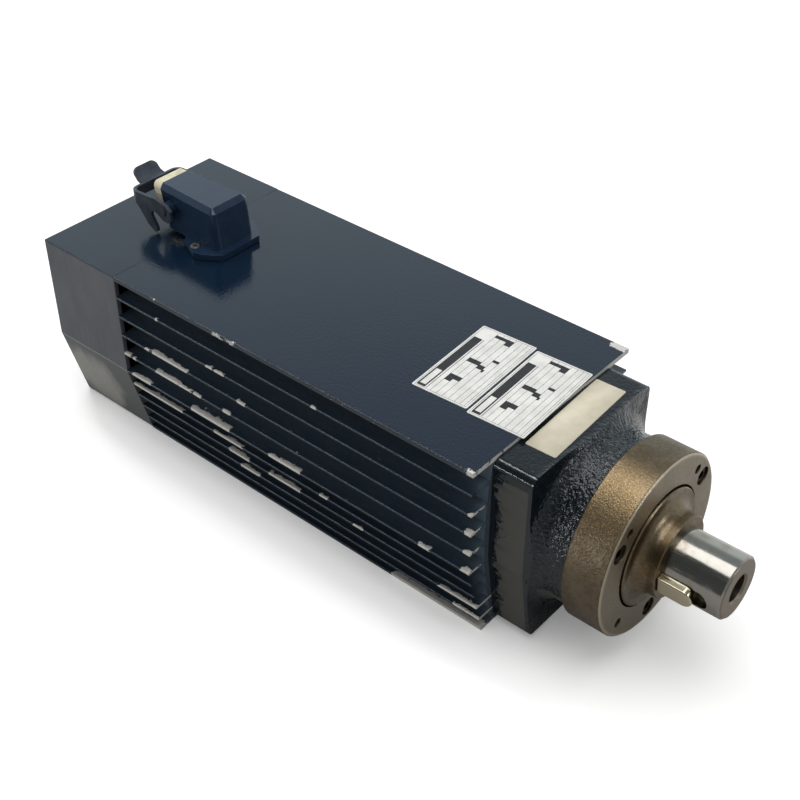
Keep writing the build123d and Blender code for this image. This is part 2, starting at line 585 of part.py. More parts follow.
with BuildPart() as connector_screws:
    for x, y in CONNECTOR_SCREWS:
        with BuildSketch(Plane.XY.offset(FLANGE_TOP - 2.2)):
            with Locations((x, y)):
                Circle(2.8)
        extrude(amount=2.2)
        with BuildSketch(Plane.XY.offset(FLANGE_TOP - 2.2)):
            with Locations((x, y)):
                Circle(1.5)
        extrude(amount=-7.5)
    chamfer(connector_screws.faces().sort_by(Axis.Z)[-2:].edges(), 0.4)
    with BuildSketch(Plane.XY.offset(FLANGE_TOP)):
        with Locations(*CONNECTOR_SCREWS):
            Rectangle(3.4, 0.8)
            Rectangle(0.8, 3.4)
    extrude(amount=-1.1, mode=Mode.SUBTRACT)
save(connector_screws, "connector_screws")

# ---- locking lever: one bent strip with two slotted claws, a bridge and a finger tab ----
BRIDGE_X = -337.5
STRIP_T = ARM_OUT - ARM_IN
CLAW = [(-305.1, 61.6), (-305.1, 67.6), (-308.5, 70.4), (-316.9, 72.0), (-324.5, 71.2), (-338, 70.6),
        (-338, 64.6), (-334.0, 64.6), (-330.2, 61.0), (-324.6, 53.6), (-319.2, 50.4), (-317.4, 51.4),
        (-317.6, 54.0), (-321.2, 60.2), (-320.6, 62.6), (-318.2, 63.8), (-315.6, 62.8), (-311.6, 60.4),
        (-308.0, 60.0)]
with BuildPart() as locking_lever:
    with BuildSketch(Plane.XY.offset(TOP_Z)) as strip:
        with BuildLine():
            FilletPolyline((-300, ARM_OUT), (BRIDGE_X, ARM_OUT), (BRIDGE_X, -ARM_OUT), (-300, -ARM_OUT),
                           radius=5)
            Line((-300, -ARM_OUT), (-300, -ARM_IN))
            FilletPolyline((-300, -ARM_IN), (BRIDGE_X + STRIP_T, -ARM_IN), (BRIDGE_X + STRIP_T, ARM_IN),
                           (-300, ARM_IN), radius=5 - STRIP_T)
            Line((-300, ARM_IN), (-300, ARM_OUT))
        make_face()
    extrude(amount=30)
    extrude(side_face(20, CLAW), amount=40, mode=Mode.INTERSECT)
    extrude(side_face(TAB_HALF, [(BRIDGE_X + 0.5, 68.6), (BRIDGE_X + 0.5, 70.6), (-340.6, 71.6),
                                 (-345.0, 76.4), (-346.6, 75.2), (-341.8, 69.6), (-339.4, 68.6)]),
            amount=2 * TAB_HALF)
    tab_corners = locking_lever.edges().filter_by(lambda e: abs(e.length - 2.0) < 0.01 and e.center().X < -345)
    fillet(tab_corners, radius=3.8)
    for side in (1, -1):
        ear = Plane(origin=(PIVOT[0], side * ARM_IN, PIVOT[1]), x_dir=(1, 0, 0), z_dir=(0, side, 0))
        with BuildSketch(ear.offset(-1)):
            Circle(1.6)
        extrude(amount=4, mode=Mode.SUBTRACT)
save(locking_lever, "locking_lever")

with BuildPart() as lever_pins:
    for side in (1, -1):
        root = Plane(origin=(PIVOT[0], side * (BODY_HALF - 2.0), PIVOT[1]), x_dir=(1, 0, 0), z_dir=(0, side, 0))
        with BuildSketch(root):
            Circle(1.55)
        extrude(amount=ARM_OUT + 0.3 - BODY_HALF + 2.0)
        with BuildSketch(root.offset(ARM_OUT + 0.3 - BODY_HALF + 2.0)):
            Circle(2.4)
        extrude(amount=0.5)
save(lever_pins, "lever_pins")
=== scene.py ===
# %% [markdown]
# # A motor spindle with a finned housing
#
# This lesson dresses a packed model of a motor spindle: a finned aluminium housing with a
# painted finish, a cast bearing shield, a turned steel mounting ring and a ground shaft with
# a key. The solids come from the frame and are never moved. What is added here is what the
# eye reads as real: paint with chips on its edges, cast and turned metal, stained steel,
# printed plates, and the small pieces that a solid model leaves out.

# %% Start
import json
from math import radians

import bmesh
import bpy
import numpy as np
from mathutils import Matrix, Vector
from mathutils.geometry import tessellate_polygon

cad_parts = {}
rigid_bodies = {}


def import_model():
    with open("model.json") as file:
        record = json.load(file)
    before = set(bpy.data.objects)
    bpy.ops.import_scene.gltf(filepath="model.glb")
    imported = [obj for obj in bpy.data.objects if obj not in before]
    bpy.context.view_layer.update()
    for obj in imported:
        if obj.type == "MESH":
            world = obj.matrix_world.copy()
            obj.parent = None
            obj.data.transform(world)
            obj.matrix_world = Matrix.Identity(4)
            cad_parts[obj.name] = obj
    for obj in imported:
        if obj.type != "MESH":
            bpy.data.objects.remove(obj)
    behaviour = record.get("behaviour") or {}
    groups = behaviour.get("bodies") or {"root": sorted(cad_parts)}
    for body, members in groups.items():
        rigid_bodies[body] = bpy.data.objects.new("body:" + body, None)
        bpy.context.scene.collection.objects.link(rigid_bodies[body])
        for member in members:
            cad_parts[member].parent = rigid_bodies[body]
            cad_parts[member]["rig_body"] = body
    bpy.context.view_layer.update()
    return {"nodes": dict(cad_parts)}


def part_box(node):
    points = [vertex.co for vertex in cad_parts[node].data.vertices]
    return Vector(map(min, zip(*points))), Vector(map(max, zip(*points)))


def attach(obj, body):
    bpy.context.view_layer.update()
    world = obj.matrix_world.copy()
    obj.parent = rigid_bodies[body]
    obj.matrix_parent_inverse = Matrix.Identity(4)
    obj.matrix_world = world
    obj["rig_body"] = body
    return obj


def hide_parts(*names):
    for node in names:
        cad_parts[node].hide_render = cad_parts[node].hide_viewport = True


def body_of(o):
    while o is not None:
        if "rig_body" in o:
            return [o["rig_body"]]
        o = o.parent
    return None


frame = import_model()
MM = 0.001
print("nodes in the frame:", len(frame["nodes"]))

# %% [markdown]
# ## The camera
#
# The frame is square, and the lens is given as its focal length in frame widths. The camera
# stands in front of the nose, to the left of the shaft and well above it, so that the top,
# the finned side and the mounting ring all show. Its place is in millimetres from the origin,
# which is on the shaft axis at the face of the mounting ring.

# %% Camera
CAMERA_PLACE = (207.1, -423.1, 443.0)
CAMERA_TURN = 40.7
CAMERA_HEIGHT_ANGLE = 38.1
FOCAL_WIDTHS = 1.713
SENSOR_WIDTH = 36.0
NEAREST_SEEN = 10.0


def new_object(name, data):
    """An object at the origin that holds the data, linked to the scene."""
    made = bpy.data.objects.new(name, data)
    bpy.context.scene.collection.objects.link(made)
    return made


lens = bpy.data.cameras.new("camera")
lens.sensor_width = SENSOR_WIDTH
lens.lens = SENSOR_WIDTH * FOCAL_WIDTHS
lens.clip_start = NEAREST_SEEN * MM
camera = new_object("camera", lens)
camera.location = [value * MM for value in CAMERA_PLACE]
camera.rotation_euler = (radians(90 - CAMERA_HEIGHT_ANGLE), 0, radians(CAMERA_TURN))
bpy.context.scene.camera = camera
bpy.context.scene.view_settings.view_transform = "Standard"
print("lens in mm:", round(lens.lens, 2))

# %% [markdown]
# ## Shader sums in plain Python
#
# A finish is a small calculation for every point of a surface. Blender draws it as nodes and
# links, and a long one is hard to follow there. Here one small class holds a socket, and
# `+`, `-`, `*` and `abs` on it add the Math nodes, so that a mask can be written as a sum.
# Any other kind of node comes from the one method `node`: its settings go first, then its
# values and links.

# %% Wire: one socket, with arithmetic
class Wire:
    """One socket of a material's node tree. Arithmetic on it adds Math nodes to the tree."""

    def __init__(self, socket):
        self.socket = socket

    def node(self, kind, settings=None, inputs=None, out=0):
        """Adds one node to the same tree and returns one of its outputs."""
        tree = self.socket.id_data
        made = tree.nodes.new("ShaderNode" + kind)
        for name, value in (settings or {}).items():
            setattr(made, name, value)
        for name, value in (inputs or {}).items():
            if isinstance(value, Wire):
                tree.links.new(value.socket, made.inputs[name])
            else:
                made.inputs[name].default_value = value
        return Wire(made.outputs[out])

    def math(self, operation, first, second=0.0):
        """Adds one Math node that works on two values, each a socket or a number."""
        return self.node("Math", {"operation": operation}, {0: first, 1: second})

    def __add__(self, other):
        return self.math("ADD", self, other)

    def __radd__(self, other):
        return self.math("ADD", other, self)

    def __sub__(self, other):
        return self.math("SUBTRACT", self, other)

    def __rsub__(self, other):
        return self.math("SUBTRACT", other, self)

    def __mul__(self, other):
        return self.math("MULTIPLY", self, other)

    def __rmul__(self, other):
        return self.math("MULTIPLY", other, self)

    def __abs__(self):
        return self.math("ABSOLUTE", self)


print("what a Wire can do:", [word for word, item in vars(Wire).items() if callable(item)])

# %% [markdown]
# ## A few words that every finish uses
#
# `step` turns a value into a soft mask from 0 to 1, `blend` mixes two colours by a mask, and
# `grain` is noise measured in millimetres of grain size. `begin` makes the material. It gives
# back a function that sets the shader, and the place on the piece in millimetres, read from
# Object coordinates, so that the pattern stays put on the piece when it turns.

# %% Helpers for finishes
def step(value, low, high):
    """Soft mask: 0 below low, 1 above high, a smooth S curve between them."""
    if low > high:
        return 1 - step(value, high, low)
    return value.node("MapRange", {"interpolation_type": "SMOOTHSTEP"},
                      {"Value": value, "From Min": low, "From Max": high})


def band(value, low, high, soft):
    """Mask of a stripe: 1 between low and high, falling to 0 over soft on both sides."""
    return step(value, low - soft, low) * step(value, high + soft, high)


def above_zero(value):
    """The value where it is positive, and 0 elsewhere."""
    return value.math("MAXIMUM", value, 0.0)


def blend(mask, first, second):
    """Colour that is first where the mask is 0 and second where it is 1."""
    return mask.node("Mix", {"data_type": "RGBA"}, {0: mask, 6: first, 7: second}, out=2)


def grain(place, size, detail=3.0, stretch=(1, 1, 1), roughness=0.55):
    """Noise from 0 to 1 with grains of about size millimetres, drawn out along each axis by stretch."""
    squeezed = place.node("VectorMath", {"operation": "MULTIPLY"},
                          {0: place, 1: [1 / (size * s) for s in stretch]})
    return place.node("TexNoise", None, {"Vector": squeezed, "Scale": 1.0, "Detail": detail,
                                         "Roughness": roughness})


def bump(place, height, strength, distance):
    """Normal of a surface raised by height, where height 1 stands distance millimetres proud."""
    return place.node("Bump", None, {"Height": height, "Strength": strength,
                                     "Distance": distance * MM})


def axes(place):
    """The three coordinates of a place, in millimetres."""
    split = place.node("SeparateXYZ", None, {0: place})
    outputs = split.socket.node.outputs
    return [Wire(outputs[k]) for k in range(3)]


def begin(name):
    """A new material: returns it, a function that sets its shader, and the place in millimetres."""
    material = bpy.data.materials.new(name)
    material.use_nodes = True
    tree = material.node_tree
    shader = tree.nodes["Principled BSDF"]
    metres = Wire(tree.nodes.new("ShaderNodeTexCoord").outputs["Object"])
    place = metres.node("VectorMath", {"operation": "SCALE"}, {0: metres, "Scale": 1 / MM})

    def surface(**sockets):
        """Sets the shader's sockets, given with underscores for spaces."""
        for word, value in sockets.items():
            target = shader.inputs[word.replace("_", " ")]
            if isinstance(value, Wire):
                tree.links.new(value.socket, target)
            else:
                target.default_value = value

    return material, surface, place


def rgb(red, green, blue):
    """Linear colour from screen values of 0 to 255."""
    return tuple((value / 255) ** 2.2 for value in (red, green, blue)) + (1.0,)


FINISH = {}
print("black reads as", rgb(0, 0, 0)[:3], "and white as", rgb(255, 255, 255)[:3])

# %% [markdown]
# ## Black-blue paint on the housing
#
# The aluminium extrusion is sprayed with a glossy two-pack paint in a blue so dark that it
# reads as black in shade. Its level top is nearly a mirror, broken only by the faint orange
# peel of the spray. Between the fins the colour is a lighter grey, lighter still the deeper
# in: painted fill light that lifts the shade there. Knocks take the paint
# off down to bright aluminium. Where they do is stored in the mesh, as a value called `bare` at
# each of its points, and noise gives each chip its ragged outline. Beside the connector's foot
# a pale smudge is painted on.

# %% Housing paint
PAINT, PAINT_CLOUD = rgb(19, 31, 47), rgb(21, 35, 48)
BARE, BARE_DULL = rgb(214, 212, 205), rgb(170, 166, 162)
# The seam with the cowl shows only near the two edges, between these pairs of Y.
SEAM_X, SEAM_NEAR, SEAM_FAR = -303.0, (-43.0, -46.0), (51.0, 54.0)
SMUDGE_X, SMUDGE_Y = -303.0, -15.5
# A point above the second height is on the level top, one below the first is not.
LEVEL_TOP = (49.2, 49.45)
HALF_WIDTH, TOP_Z, CORNER_Z = 61.5, 49.5, -12.5
FOOT_HALF, FOOT_Z = 49.5, -60.0
SIDE_SLOPE = (HALF_WIDTH - FOOT_HALF) / (CORNER_Z - FOOT_Z)


def top_paint(place, x, y, z):
    """Colour of the painted top, shared by the housing and the cowl so that it runs on over the joint."""
    cloud = grain(place, 45.0, 3.0)
    colour = blend(cloud, PAINT, PAINT_CLOUD)
    # A pale smudge painted beside the connector's foot.
    along = (x - SMUDGE_X) * 0.12
    across = (y - SMUDGE_Y) * 0.17
    speckled = along * along + across * across + grain(place, 2.2, 5.0, roughness=0.75) * 2.6
    smudge = step(speckled, 2.0, 0.6) * step(z, *LEVEL_TOP)
    colour = blend(smudge * 0.45, colour, rgb(104, 98, 86))
    wander = (grain(place, 9.0, 2.0) - 0.5) * 1.5
    seam = band(x + wander, SEAM_X - 0.5, SEAM_X + 0.5, 0.3)
    seam = seam * (step(y, *SEAM_NEAR) + step(y, *SEAM_FAR))
    return blend(seam * 0.9, colour, rgb(6, 8, 10)), cloud


def housing_paint():
    """Glossy top, sides painted lighter the farther in from the fin tips as painted fill light in their
    shade, and bare chips.
    """
    material, surface, place = begin("black_blue_paint")
    x, y, z = axes(place)
    peel = grain(place, 1.5, 2.0)
    level = step(z, *LEVEL_TOP)
    colour, cloud = top_paint(place, x, y, z)
    # Painted fill light: the sides between the fins get a lighter grey, lighter the farther in from the tips,
    # standing in for light in the shade there.
    inset = HALF_WIDTH - above_zero(CORNER_Z - z) * SIDE_SLOPE - abs(y)
    depth = step(inset + grain(place, 4.0, 4.0, stretch=(4, 1, 1)) * 3.0, 1.5, 11.0)
    colour = blend((1 - level) * 0.9, colour, blend(depth, rgb(34, 44, 54), rgb(76, 88, 98)))
    stored = place.node("Attribute", {"attribute_name": "bare"}, None, out=2)
    coarse = grain(place, 3.2, 3.0, stretch=(1.6, 1, 0.9))
    ragged = grain(place, 1.0, 5.0, roughness=0.75)
    chip = step(stored + (coarse - 0.5) * 1.3 + (ragged - 0.5) * 0.9, 0.52, 0.57)
    nick = step(grain(place, 0.9, 3.0, stretch=(2.2, 1, 1)), 0.73, 0.745)
    nick = nick * step(abs(y), HALF_WIDTH - 4.5, HALF_WIDTH - 0.5) * (1 - level)
    gone = chip + nick * (1 - chip)
    metal = blend(grain(place, 1.2, 4.0), BARE_DULL, BARE)
    surface(
        Base_Color=blend(gone, colour, metal),
        Roughness=0.08 + cloud * 0.04 + gone * 0.4 + (1 - level) * 0.13,
        Metallic=gone * 0.2,
        Normal=bump(place, peel + (1 - gone) * 0.9, 0.6, 0.13),
    )
    return material


FINISH["housing_paint"] = housing_paint()
print("nodes in the housing paint:", len(FINISH["housing_paint"].node_tree.nodes))

# %% [markdown]
# ## Cast iron under the same paint
#
# The bearing shield is a sand casting. Its skin is coarse, so the glossy paint lies over a
# field of small bumps. On the barrel the highest grains are painted bright, in two patches
# seen from the near side, which face the lamps: painted highlights that stand for glints on
# the bumps, and partly for grains rubbed bare by hands. The flat near side has lost its gloss
# to a grey-brown film, which stops at a ragged edge near the housing and short of the top.

# %% Cast shield
# The block's near side stands at SIDE_Y, and leans in by BLOCK_SLOPE below BLOCK_CORNER_Z.
SIDE_Y, BLOCK_CORNER_Z, BLOCK_SLOPE = -47.0, -11.0, 0.152
FILM_TOP, FILM_REAR, FILM_FRONT = (40.0, 38.5), (-57.2, -56.6), (-41.6, -42.6)
BARREL_START = (-42.0, -36.0)
# Each patch of painted glints faces a direction (y, z), and begins where that reaches PATCH_EDGE.
HIGH_PATCH, LOW_PATCH, PATCH_EDGE = (-0.375, 0.927), (-0.883, 0.469), (38.0, 41.5)
# The film comes back under the barrel, and one top corner of the block gets painted glints too.
UNDER_START, UNDER_EDGE = (-38.5, -36.0), (-40.0, -44.0)
CORNER_EDGES = {"x": (-50.0, -43.0), "y": (-32.0, -40.0), "z": (45.0, 47.0)}


def cast_paint():
    """Paint on coarse bumps, a dull film on the flat near side and under the barrel, and grains painted
    bright as glints and rubbed metal.
    """
    material, surface, place = begin("cast_iron_painted")
    x, y, z = axes(place)
    lumps = grain(place, 1.9, 1.5, roughness=0.5)
    fine = grain(place, 0.6, 3.0, roughness=0.7)
    wide = grain(place, 9.0, 3.0)
    edge = grain(place, 7.0, 5.0, roughness=0.7)
    inward = above_zero(BLOCK_CORNER_Z - z) * BLOCK_SLOPE
    side = step(y - SIDE_Y - inward, 0.9, 0.4) * step(z + (edge - 0.5) * 4.0, *FILM_TOP)
    side = side * step(x + (edge - 0.5) * 22.0, *FILM_REAR) * step(x, *FILM_FRONT)
    under = step(x, *UNDER_START) * step(z + y * 0.55 + (edge - 0.5) * 14.0, *UNDER_EDGE)
    film = side + under * (1 - side)
    strip = step(x + (wide - 0.5) * 8.0, *BARREL_START)
    high, low = (step(y * patch[0] + z * patch[1], *PATCH_EDGE) for patch in (HIGH_PATCH, LOW_PATCH))
    corner = step(x, *CORNER_EDGES["x"]) * step(z, *CORNER_EDGES["z"]) * step(y, *CORNER_EDGES["y"])
    wear_and_painted_light = strip * (high + low * (1 - high)) + corner * (1 - strip) * 0.7
    grains = step(fine * 0.55 + lumps * 0.45, 0.585, 0.635)
    # Painted highlight: bright grains in the two patches and the corner stand in for glints, and partly for
    # grains rubbed bare.
    bright = grains * wear_and_painted_light * 0.14 * (1 - film)
    colour = blend(wide, rgb(15, 22, 28), rgb(23, 30, 35))
    colour = blend(film, colour, blend(wide, rgb(60, 60, 56), rgb(70, 69, 65)))
    colour = blend(bright, colour, rgb(178, 180, 180))
    height = (lumps + fine * 0.06) * (1 - film * 0.9) * (0.13 + strip * 0.80)
    surface(
        Base_Color=colour,
        Roughness=0.10 + lumps * 0.06 + film * 0.40,
        Normal=bump(place, height, 1.0, 1.1),
    )
    return material


FINISH["cast_paint"] = cast_paint()
print("nodes in the cast paint:", len(FINISH["cast_paint"].node_tree.nodes))

# %% [markdown]
# ## The cowl's rubbed paint
#
# The fan cowl has the same glossy top as the housing, but its sides are rubbed matt and grey
# by rags. The rubbing runs up and down, so the streaks are noise drawn out along Z. The top
# edge stays dark and the bend to the sloping facet is rubbed bright. On the facet below it a
# lighter patch with arcs in it is painted on, a painted reflection of the pale floor there.

# %% Cowl paint
ARC_X, ARC_Z = -342.0, -38.0
COWL_TOP_RIM, COWL_REAR_RIM = (48.2, 48.9), (-360.2, -360.9)


def cowl_paint():
    """Glossy top and rims, streaks down the sides, a bright bend, and a painted reflection in arcs on the
    facet below it.
    """
    material, surface, place = begin("cowl_paint")
    x, y, z = axes(place)
    streak = grain(place, 0.6, 4.0, stretch=(1, 1, 45), roughness=0.6)
    patch = grain(place, 16.0, 4.0, stretch=(1, 1, 2))
    mask = step(streak * 0.5 + patch * 0.5, 0.30, 0.70)
    wear_and_painted_light = blend(mask, rgb(70, 74, 79), rgb(88, 91, 95))
    bend = z - CORNER_Z
    lower = step(bend, 0.5, -2.0)
    reach = (x - ARC_X) * (x - ARC_X) + (z - ARC_Z) * (z - ARC_Z) * 1.4
    # Painted reflection: a lighter patch in arcs on the lower facet stands in for the pale floor mirrored
    # there.
    painted_reflection = step(reach + (patch - 0.5) * 1100.0 + (streak - 0.5) * 160.0, 760.0, 240.0)
    arc_lines = grain(place.node("CombineXYZ", None, {0: reach * 0.02}), 0.6, 3.0)
    facet = blend(painted_reflection * 0.75 + (arc_lines - 0.5) * 0.5, rgb(84, 87, 88), rgb(150, 148, 142))
    wear_and_painted_light = blend(lower, wear_and_painted_light, facet)
    wear_and_painted_light = blend(band(bend + (patch - 0.5) * 3.0, -0.4, 0.2, 0.5) * 0.4, wear_and_painted_light, rgb(160, 158, 152))
    top, cloud = top_paint(place, x, y, z)
    rim = step(z, *COWL_TOP_RIM)
    rim = rim + step(x, *COWL_REAR_RIM) * (1 - rim)
    colour = blend(rim, wear_and_painted_light, top)
    dot = step(grain(place, 1.4, 3.0), 0.72, 0.735) * (1 - rim)
    colour = blend(dot * 0.6, colour, rgb(40, 42, 44))
    surface(
        Base_Color=colour,
        Roughness=0.46 + streak * 0.14 - rim * 0.36,
        Normal=bump(place, streak * 0.8 * (1 - rim) + grain(place, 1.5, 2.0), 0.6, 0.13),
    )
    return material


FINISH["cowl_paint"] = cowl_paint()
print("nodes in the cowl paint:", len(FINISH["cowl_paint"].node_tree.nodes))

# %% [markdown]
# ## Turned steel that has stained brown
# The mounting ring is bare steel. Old oil and handling have browned it, from straw to dark
# brown, and its skin is finely pitted, so the stain is broken up by grains under a millimetre
# in size. One patch near the top has a golden glitter painted on: a painted highlight, broken
# up by the grains. The front face is painted a little lighter, as painted light. The turning
# lines are noise that reads the distance along X only. The rim of the front face is rubbed
# bright.

# %% Stained steel
GOLDEN_Y, GOLDEN_Z = -22.0, 36.0
# Distances from the axis, squared, between which the front face's rim turns bright.
RIM_SQUARED = (2025.0, 2190.0)


def stained_steel(name, light, dark, deep, line_size, roughness, wear_and_painted_light=0.0):
    """Steel in three stain colours; wear_and_painted_light sets how much of the painted golden glitter, the
    painted lighter front face and the rubbed bright rim it has.
    """
    material, surface, place = begin(name)
    x, y, z = axes(place)
    along = place.node("CombineXYZ", None, {0: x})
    turning = grain(along, line_size, 2.0)
    cloud = grain(place, 22.0, 5.0, roughness=0.6)
    speck = grain(place, 0.7, 4.0, roughness=0.8)
    pebbles = grain(place, 1.1, 1.0, roughness=0.5)
    coarse = grain(place, 2.2, 4.0, roughness=0.7)
    stain = step(cloud * 0.5 + coarse * 0.5, 0.36, 0.64)
    pits = step(speck, 0.56, 0.68)
    away = (y - GOLDEN_Y) * (y - GOLDEN_Y) + (z - GOLDEN_Z) * (z - GOLDEN_Z)
    # Painted highlight: a golden glitter near the top, broken up by the grains.
    painted_glitter = step(away + (coarse - 0.5) * 300.0, 520.0, 60.0) * wear_and_painted_light * 0.8
    grains = step(speck * 0.8 + coarse * 0.2, 0.48, 0.60)
    front = band(x, -0.5, 0.2, 0.3) * step(y * y + z * z, *RIM_SQUARED) * wear_and_painted_light
    colour = blend(stain, light, dark)
    colour = blend(pits * 0.55, colour, deep)
    colour = blend(painted_glitter * (grains * 0.6 + 0.1), colour, rgb(202, 168, 118))
    # Painted light: the front face is made lighter, standing in for the light it catches.
    colour = blend(step(x, -0.7, -0.3) * 0.35 * wear_and_painted_light, colour, rgb(196, 186, 168))
    colour = blend(front * 0.8, colour, rgb(190, 178, 156))
    height = turning * 0.4 + speck * (0.6 + wear_and_painted_light) + coarse * 0.6 + pebbles * wear_and_painted_light * 2.2
    surface(
        Base_Color=colour,
        Metallic=1.0,
        Roughness=roughness + stain * 0.10 + pits * 0.15 - painted_glitter * 0.10,
        Normal=bump(place, height, 0.6, 0.12),
    )
    return material


FINISH["ring_steel"] = stained_steel("ring_steel", rgb(114, 103, 87), rgb(94, 82, 65), rgb(58, 49, 38),
                                     line_size=0.25, roughness=0.38, wear_and_painted_light=1.0)
FINISH["disc_steel"] = stained_steel("disc_steel", rgb(124, 113, 96), rgb(106, 88, 62), rgb(80, 66, 46),
                                     line_size=0.2, roughness=0.26)
print("nodes in the ring's steel:", len(FINISH["ring_steel"].node_tree.nodes))

# %% [markdown]
# ## The ground shaft
#
# The shaft is ground bright, so it mirrors long bands of light and dark. Handling has left
# fine scratches along and round it and a brown film near the collar. The end face and the bore
# are duller, since a tool's screw has bedded there.

# %% Ground steel
# The end face by X, and the bore by the distance from the axis, squared.
END_FACE, SHAFT_BORE_SQUARED = (41.2, 41.9), (81.0, 70.0)


def ground_steel(name, bright, stain):
    """Ground steel in a bright tone, with stain as the colour of the film that handling leaves."""
    material, surface, place = begin(name)
    x, y, z = axes(place)
    along = place.node("CombineXYZ", None, {0: x})
    lines = grain(along, 0.18, 2.0)
    scratch = step(grain(place, 0.25, 2.0, stretch=(40, 1, 1)), 0.58, 0.70)
    film = step(grain(place, 9.0, 6.0, stretch=(1, 1, 2)) + step(x, 26.0, 8.0) * 0.16, 0.50, 0.85)
    worn = step(x, *END_FACE)
    inner = step(y * y + z * z, *SHAFT_BORE_SQUARED)
    dull = worn + inner * (1 - worn)
    colour = blend(film * 0.7, bright, stain)
    colour = blend(dull * 0.9, colour, rgb(132, 120, 104))
    surface(
        Base_Color=colour,
        Metallic=1.0,
        Roughness=0.11 + scratch * 0.14 + film * 0.10 + dull * 0.25,
        Normal=bump(place, lines * 0.6 + scratch * 0.5, 0.25, 0.03),
    )
    return material


FINISH["ground_steel"] = ground_steel("ground_steel", rgb(162, 158, 151), rgb(128, 113, 90))
# The key gets warmer, lighter tones, which stand in for the golden reflections on its top: a painted
# reflection.
FINISH["key_steel"] = ground_steel("key_steel", rgb(212, 200, 172), rgb(176, 152, 112))
print("nodes in the shaft's steel:", len(FINISH["ground_steel"].node_tree.nodes))

# %% [markdown]
# ## Plastics, rubber and small hardware
#
# Most small pieces share one recipe: a base colour in two close tones, a fine skin, and a
# little change in gloss. Each row of the table gives the two tones, the roughness, the size
# and depth of the grains in millimetres, how metallic it is, and how much clear coat it has.

# %% One recipe for plain pieces
PLAIN_FINISHES = {
    "connector_black": ((27, 41, 60), (32, 46, 65), 0.13, 1.4, 0.05, 0.0, 0.0),
    "lever_slate": ((40, 47, 57), (54, 60, 70), 0.34, 0.4, 0.03, 0.0, 0.0),
    "seal_ivory": ((206, 200, 172), (184, 178, 152), 0.55, 0.5, 0.04, 0.0, 0.0),
    "rubber_black": ((22, 22, 23), (30, 30, 30), 0.62, 0.4, 0.04, 0.0, 0.0),
    "insert_black": ((24, 24, 26), (34, 34, 36), 0.45, 0.3, 0.02, 0.0, 0.0),
    "screw_black": ((34, 32, 30), (46, 42, 38), 0.36, 0.3, 0.03, 0.9, 0.0),
    "screw_zinc": ((150, 148, 142), (116, 112, 104), 0.38, 0.3, 0.03, 1.0, 0.0),
    "pin_brass": ((206, 176, 110), (176, 146, 88), 0.30, 0.3, 0.02, 1.0, 0.0),
    "bearing_steel": ((196, 197, 198), (180, 181, 183), 0.16, 0.3, 0.01, 1.0, 0.0),
    "cage_amber": ((176, 128, 66), (156, 108, 50), 0.42, 0.5, 0.03, 0.0, 0.0),
    "iron_core": ((104, 104, 106), (78, 78, 82), 0.45, 0.4, 0.04, 1.0, 0.0),
    "copper_wire": ((148, 70, 34), (118, 50, 24), 0.30, 0.9, 0.25, 0.7, 0.6),
    "cast_aluminium": ((172, 173, 174), (150, 151, 152), 0.42, 0.8, 0.06, 1.0, 0.0),
    "lead_red": ((120, 24, 20), (98, 18, 16), 0.45, 0.5, 0.02, 0.0, 0.0),
    "fan_plastic": ((28, 29, 31), (38, 39, 41), 0.42, 0.6, 0.04, 0.0, 0.0),
    "plate_white": ((214, 214, 210), (200, 200, 196), 0.34, 0.4, 0.01, 0.0, 0.0),
    "label_cream": ((204, 197, 176), (197, 190, 169), 0.42, 0.5, 0.01, 0.0, 0.0),
    "ink_black": ((20, 21, 24), (30, 31, 34), 0.40, 0.3, 0.01, 0.0, 0.0),
}


def plain(name, first, second, roughness, grain_size, depth, metallic, coat):
    """Two tones in soft clouds over a fine skin that also varies the gloss."""
    material, surface, place = begin(name)
    skin = grain(place, grain_size, 3.0)
    cloud = grain(place, 6.0, 4.0)
    surface(
        Base_Color=blend(step(cloud, 0.35, 0.65), rgb(*first), rgb(*second)),
        Metallic=metallic,
        Roughness=roughness + skin * 0.12,
        Coat_Weight=coat,
        Normal=bump(place, skin, 0.4, depth),
    )
    return material


for name, recipe in PLAIN_FINISHES.items():
    FINISH[name] = plain(name, *recipe)
print("finishes:", len(FINISH))

# %% [markdown]
# ## Giving the solids their finish
#
# A packed solid keeps its shape, and only its material slots change. The table reads as the
# parts list does: one line for each finish, with the nodes that wear it.

# %% Assign
WEARS = {
    "housing_paint": ["finned_housing"],
    "cast_paint": ["front_shield", "rear_shield", "front_shield_screws"],
    "cowl_paint": ["fan_cowl", "intake_grille"],
    "ring_steel": ["flange_ring"],
    "disc_steel": ["nose_disc"],
    "ground_steel": ["shaft"],
    "key_steel": ["shaft_key"],
    "connector_black": ["connector_housing"],
    "lever_slate": ["locking_lever", "lever_pins"],
    "seal_ivory": ["connector_seal"],
    "rubber_black": ["connector_gasket"],
    "insert_black": ["contact_insert"],
    "screw_black": ["flange_ring_screws", "rear_shield_screws", "cowl_screws"],
    "screw_zinc": ["bearing_lock_nut", "fan_clip", "connector_screws"],
    "pin_brass": ["contact_pins"],
    "bearing_steel": ["front_outer_rings", "front_inner_rings", "front_balls", "rear_outer_ring",
                      "rear_inner_ring", "rear_balls"],
    "cage_amber": ["front_cages", "rear_cage"],
    "iron_core": ["stator_core", "rotor_core"],
    "copper_wire": ["stator_windings"],
    "cast_aluminium": ["rotor_cage"],
    "lead_red": ["stator_leads"],
    "fan_plastic": ["fan"],
    "plate_white": ["rating_plate_rear", "rating_plate_front"],
    "label_cream": ["nose_label"],
}


def wear(piece, finish):
    """Gives a piece one finish on all its faces."""
    piece.data.materials.clear()
    piece.data.materials.append(FINISH[finish])


for finish, names in WEARS.items():
    for name in names:
        wear(frame["nodes"][name], finish)
print("nodes dressed:", sum(len(names) for names in WEARS.values()))

